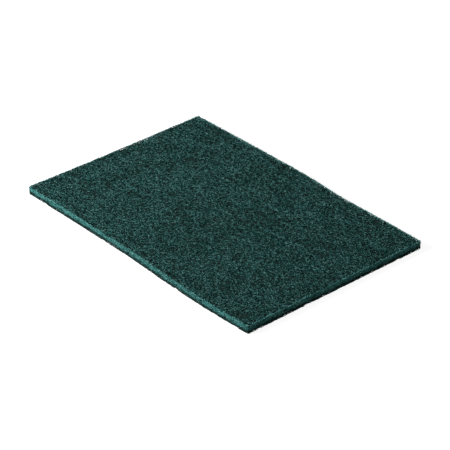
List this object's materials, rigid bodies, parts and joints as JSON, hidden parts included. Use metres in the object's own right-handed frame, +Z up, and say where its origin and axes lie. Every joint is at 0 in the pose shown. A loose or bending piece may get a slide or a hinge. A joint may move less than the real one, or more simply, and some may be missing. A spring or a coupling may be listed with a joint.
{
  "type": "nylon scouring pad",
  "caption": "Flat rectangular scouring pad of dark green nonwoven nylon web, for scrubbing by hand.",
  "frame": {"origin": "under the middle of the pad's box, on the surface that the pad rests on", "axes": "+X along the long side, +Y along the short side, +Z up through the thickness"},
  "size_m": [0.2296, 0.1534, 0.0064],
  "materials": {
    "nylon_web": "matte"
  },
  "bodies": {
    "root": {"scouring_pad": "nylon_web"}
  },
  "joints": []
}
